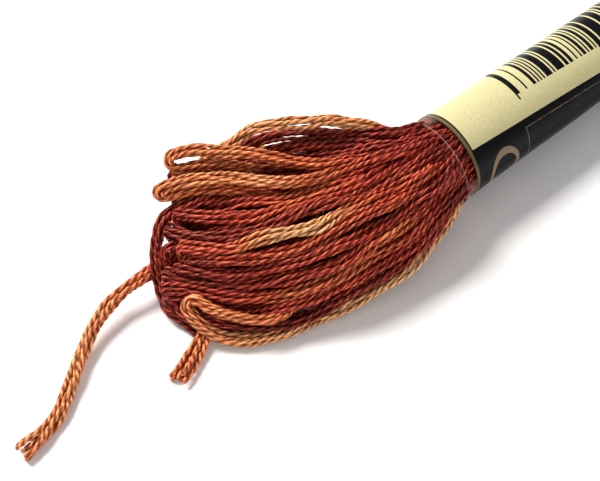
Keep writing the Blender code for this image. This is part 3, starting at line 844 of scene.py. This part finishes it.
def stray_fibres(rng, yarns, each):
    """Short curved fibres rooted on the yarns, about so many on each, listed as yarns are."""
    fibres = []
    around = np.arange(FIBRE_SIDES) * math.tau / FIBRE_SIDES
    for shell, _, marks, _ in yarns:
        for _ in range(rng.poisson(each)):
            ring = int(rng.triangular(1, len(shell) / 2, len(shell) - 1))
            side = int(rng.integers(shell.shape[1]))
            root = shell[ring, side]
            outward = root - shell[ring].mean(axis=0)
            outward /= max(np.linalg.norm(outward), 1e-6)
            along = shell[ring + 1, side] - shell[ring - 1, side]
            along /= max(np.linalg.norm(along), 1e-6)
            along *= rng.choice((-1, 1))
            stray = rng.normal(0, 0.35, 3)
            length = rng.uniform(*FIBRE_LENGTH)
            t = np.linspace(0, 1, FIBRE_POINTS)[:, None]
            lift = rng.uniform(0.2, 0.9)
            line = root + length * (along * t * 0.8 + outward * lift * t * (1.3 - t)
                                    + stray * t * t * 0.5)
            across = np.cross(along, outward)
            over = np.cross(across, along)
            taper = FIBRE_RADIUS * (1.05 - 0.6 * t)
            tube = (line[:, None] + across * (taper * np.cos(around))[..., None]
                    + over * (taper * np.sin(around))[..., None])
            tube[..., 2] = np.maximum(tube[..., 2], SURFACE_GAP)
            dye = np.full(FIBRE_POINTS, min(1.0, marks[ring] + FIBRE_DYE))
            fibres.append((tube, np.linspace(0, length, FIBRE_POINTS), dye, FIBRE_TINT))
    return fibres


every_near = [yarn for yarns in near_yarns for yarn in yarns]
every_far = [yarn for yarns in far_yarns for yarn in yarns]
fibres = stray_fibres(rng, every_near, FIBRES_PER_NEAR_YARN)
fibres += stray_fibres(rng, every_far, FIBRES_PER_FAR_YARN)
fuzz = yarn_mesh("stray_fibres", fibres, cotton)
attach(fuzz, "root")
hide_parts("hank")


# ---------------------------------------------------------------- sleeve
# A tube of thin clear film, printed on its inside in cream and black and left clear for a
# little at each mouth, slid over the waist of the skein, whose fans press its mouths open.
WAIST_DIAMETER = 10.9
FLARE = 1.4
FILM = 0.12                            # mm
FILM_MARGIN = 1.8                      # mm of clear film past the print
RINGS = 100
AROUND = 96
# The print's places are in mm along it from its near edge, and in degrees round it from the
# top, towards the front.
PRINT_SKEW = 0.6                       # degrees that the print turns for each mm
CREAM_BACK, CREAM_EDGE = -150.0, 40.0
COUNT_ENDS = 200.0                     # degrees, where the count goes on from below zero
OLIVE_EDGE, BLACK_LINE = 0.45, 0.68    # mm in from the edge
BARS_ALONG, BARS_ROUND = (9.6, 40.0), (-95.0, 8.0)
THINNEST_BAR = 0.25                    # mm
LONG_BARS, LONGER = ((9.6, 10.6), (24.2, 25.2), (39.0, 40.0)), 8.0
RING_PLACE, RING_SIZE = (5.0, 97.0), (2.5, 38.0)
FRAME_ALONG, FRAME_ROUND = (9.1, 50.0), (51.0, 138.0)
FRAME_SIDE, FRAME_TOP = (9.1, 9.22), (51.0, 52.2)
RIM_WIDTH = 0.12                       # mm, where the cut edge of the film catches light
PAINTED_SHEEN_MIDDLE = 30.0                     # degrees, where the painted sheen on the clear film is least
CREAM, BLACK = (0.45, 0.425, 0.225, 1), (0.004, 0.004, 0.005, 1)
WARM_SPECK = (0.78, 0.62, 0.36, 1)
OLIVE, BRONZE = (0.115, 0.085, 0.038, 1), (0.19, 0.135, 0.083, 1)
# The clear film's painted peach glow, shown through its painted sheen and rim line.
PAINTED_FILM_GLOW = (0.96, 0.62, 0.52, 1)


def sleeve_radius(x):
    """Narrow at the waist, and out to the band's own size at the mouths."""
    middle = (NEAR_PRINT_X + FAR_PRINT_X) / 2
    half = (FAR_PRINT_X - NEAR_PRINT_X) / 2 + CLEAR_MARGIN
    flare = np.minimum(np.abs(x - middle) / half, 1.0) ** FLARE
    return WAIST_DIAMETER / 2 + flare * (SLEEVE_RADIUS - WAIST_DIAMETER / 2)


def film_tube():
    """Outer and inner skins joined at the rims, with a map in mm along and degrees round."""
    xs = np.linspace(NEAR_PRINT_X - FILM_MARGIN, FAR_PRINT_X + FILM_MARGIN, RINGS)
    xs = np.concatenate([xs, xs[::-1]])
    skins = np.concatenate([np.zeros(RINGS), np.full(RINGS, FILM)])
    angles = np.linspace(0, math.tau, AROUND + 1)
    long_dents = 0.05 * np.sin(xs[:, None] / 7.3 + 2 * angles)
    dents = long_dents + 0.03 * np.sin(xs[:, None] / 3.1 - 3 * angles)
    ends = np.minimum(np.abs(xs - xs[0]), np.abs(xs - xs.max()))
    dents = dents * np.minimum(ends / 4, 1)[:, None]
    radius = sleeve_radius(xs)[:, None] - skins[:, None] + dents - 0.04
    y = AXIS_Y - radius * np.sin(angles)
    z = np.maximum(AXIS_Z + radius * np.cos(angles), SURFACE_GAP)
    places = np.stack([np.broadcast_to(xs[:, None], y.shape), y, z], axis=-1)[:, :-1]
    faces, maps = [], []
    total = len(xs)
    for ring in range(total):
        following = (ring + 1) % total
        for side in range(AROUND):
            right_side = (side + 1) % AROUND
            faces.append((ring * AROUND + side, ring * AROUND + right_side,
                          following * AROUND + right_side, following * AROUND + side))
            left, turned = math.degrees(angles[side]), math.degrees(angles[side + 1])
            here, there = xs[ring] - NEAR_PRINT_X, xs[following] - NEAR_PRINT_X
            maps += [(here, left), (here, turned), (there, turned), (there, left)]
    mesh = bpy.data.meshes.new("film_sleeve")
    mesh.from_pydata((places.reshape(-1, 3) * MM).tolist(), [], faces)
    layer = mesh.uv_layers.new(name="print")
    layer.data.foreach_set("uv", np.array(maps, np.float32).ravel())
    mesh.shade_smooth()
    mesh.update()
    return mesh


def printed_finish():
    """Clear film printed cream and black, with random bars, a plain ring and a thin frame."""
    material, shader, start = new_finish("printed_film")
    place = start.node("ShaderNodeUVMap", {"uv_map": "print"})
    along, turn = place.split()
    turn = turn - 360 * turn.math("GREATER_THAN", COUNT_ENDS) - along * PRINT_SKEW
    print_length = FAR_PRINT_X - NEAR_PRINT_X
    printed = along.between(0.0, print_length)
    edge = 1 - along.between(OLIVE_EDGE, print_length - OLIVE_EDGE)
    line = 1 - along.between(BLACK_LINE, print_length - BLACK_LINE)
    cream = turn.between(CREAM_BACK, CREAM_EDGE)
    bar = ((along - BARS_ALONG[0]) / THINNEST_BAR).math("FLOOR")
    bar_draw = bar.node("ShaderNodeTexWhiteNoise", {"noise_dimensions": "1D"},
                        {"W": bar * 1.37 + 4.0})
    first, middle, last = (along.between(*ends) for ends in LONG_BARS)
    low_end = BARS_ROUND[1] + LONGER * (first + middle + last)
    bars = bar_draw.math("GREATER_THAN", 0.45) * along.between(*BARS_ALONG)
    bars = bars * (low_end - turn).math("GREATER_THAN", 0.0)
    bars = bars * turn.math("GREATER_THAN", BARS_ROUND[0])
    oval_u = (along - RING_PLACE[0]) / RING_SIZE[0]
    oval_v = (turn - RING_PLACE[1]) / RING_SIZE[1]
    oval = (oval_u * oval_u + oval_v * oval_v).math("SQRT")
    stroke = 0.30 - 0.10 * oval_u.math("ABSOLUTE")
    ring = (1.0 - oval).math("GREATER_THAN", 0.0) * (oval - 1.0 + stroke).math("GREATER_THAN", 0.0)
    frame_side = along.between(*FRAME_SIDE) * turn.between(*FRAME_ROUND)
    frame_top = turn.between(*FRAME_TOP) * along.between(*FRAME_ALONG)
    hairline = (frame_side + frame_top).math("MINIMUM", 1.0)
    flat_place = place.node("ShaderNodeCombineXYZ", sockets={0: along, 1: turn * 0.1})
    speckle = place.node("ShaderNodeTexNoise", sockets={
        "Vector": flat_place, "Scale": 2.4, "Detail": 2.0})
    fade = speckle.ramp(0.40, 0.62)
    colour = cream.over(CREAM, BLACK)
    paper = speckle.ramp(0.3, 0.7, 0.0, 0.25)
    colour = (cream * paper).over(WARM_SPECK, colour)
    colour = (bars * cream).over(BLACK, colour)
    colour = (ring * (1 - cream)).over(BRONZE, colour)
    colour = (hairline * (0.35 + 0.65 * fade) * (1 - cream)).over(BRONZE, colour)
    colour = line.over(BLACK, colour)
    colour = edge.over(OLIVE, colour)
    # Unprinted film takes the painted glow colour; its alpha below is a painted sheen, growing
    # away from the upper front, plus a faint painted light line at each cut rim.
    colour = printed.over(colour, PAINTED_FILM_GLOW)
    start.plug(shader.inputs["Base Color"], colour)
    rim = 1 - along.between(RIM_WIDTH - FILM_MARGIN, print_length + FILM_MARGIN - RIM_WIDTH)
    painted_sheen = (turn - PAINTED_SHEEN_MIDDLE).math("ABSOLUTE").ramp(45.0, 110.0, 0.0, 0.26)
    start.plug(shader.inputs["Alpha"], (printed + painted_sheen + 0.12 * rim).math("MINIMUM", 1.0))
    start.plug(shader.inputs["Roughness"], 0.24 + 0.10 * speckle)
    shader.inputs["Specular IOR Level"].default_value = 0.07
    waves = place.node("ShaderNodeTexNoise", sockets={
        "Vector": flat_place, "Scale": 0.25, "Detail": 1.0})
    start.plug(shader.inputs["Normal"], waves.node("ShaderNodeBump", sockets={
        "Strength": 0.25, "Distance": 0.0004, "Height": waves}))
    return material


sleeve_mesh = film_tube()
sleeve_mesh.materials.append(printed_finish())
sleeve = bpy.data.objects.new("film_sleeve", sleeve_mesh)
bpy.context.scene.collection.objects.link(sleeve)
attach(sleeve, "root")
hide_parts("band")


# ---------------------------------------------------------------- floor and light
# A plain white floor, a large soft light from the upper left, and a pale sky.
FLOOR_HALF = 0.9                       # m
floor_mesh = bpy.data.meshes.new("floor")
corner_ways = ((-1, -1), (1, -1), (1, 1), (-1, 1))
floor_corners = [(FLOOR_HALF * x, FLOOR_HALF * y, 0) for x, y in corner_ways]
floor_mesh.from_pydata(floor_corners, [], [(0, 1, 2, 3)])
floor = bpy.data.objects.new("floor", floor_mesh)
bpy.context.scene.collection.objects.link(floor)
paper, paper_shader, _ = new_finish("white_floor")
paper_shader.inputs["Base Color"].default_value = (0.92, 0.92, 0.92, 1)
paper_shader.inputs["Roughness"].default_value = 0.9
floor_mesh.materials.append(paper)


def soft_light(name, place, target, size, power, colour):
    data = bpy.data.lights.new(name, "AREA")
    data.shape = "SQUARE"
    data.size = size
    data.energy = power
    data.color = colour
    light = bpy.data.objects.new(name, data)
    light.location = place
    light.rotation_euler = (Vector(target) - Vector(place)).to_track_quat("-Z", "Y").to_euler()
    bpy.context.scene.collection.objects.link(light)


FAN_MIDDLE = (-0.055, 0.0, 0.0)
key_way = (-right * 0.50 + up * 0.78 + back * 0.32).normalized()
soft_light("key", Vector(FAN_MIDDLE) + key_way * 0.7, FAN_MIDDLE, 0.32, 9.5, (1.0, 0.985, 0.96))
fill_way = (right * 0.5 - up * 0.5 + back * 0.7).normalized()
soft_light("fill", Vector(FAN_MIDDLE) + fill_way * 0.8, FAN_MIDDLE, 0.6, 3.0, (1.0, 0.96, 0.95))
world = bpy.data.worlds.new("pale_sky")
world.use_nodes = True
world.node_tree.nodes["Background"].inputs["Color"].default_value = (1, 0.975, 0.97, 1)
world.node_tree.nodes["Background"].inputs["Strength"].default_value = 0.39
bpy.context.scene.world = world
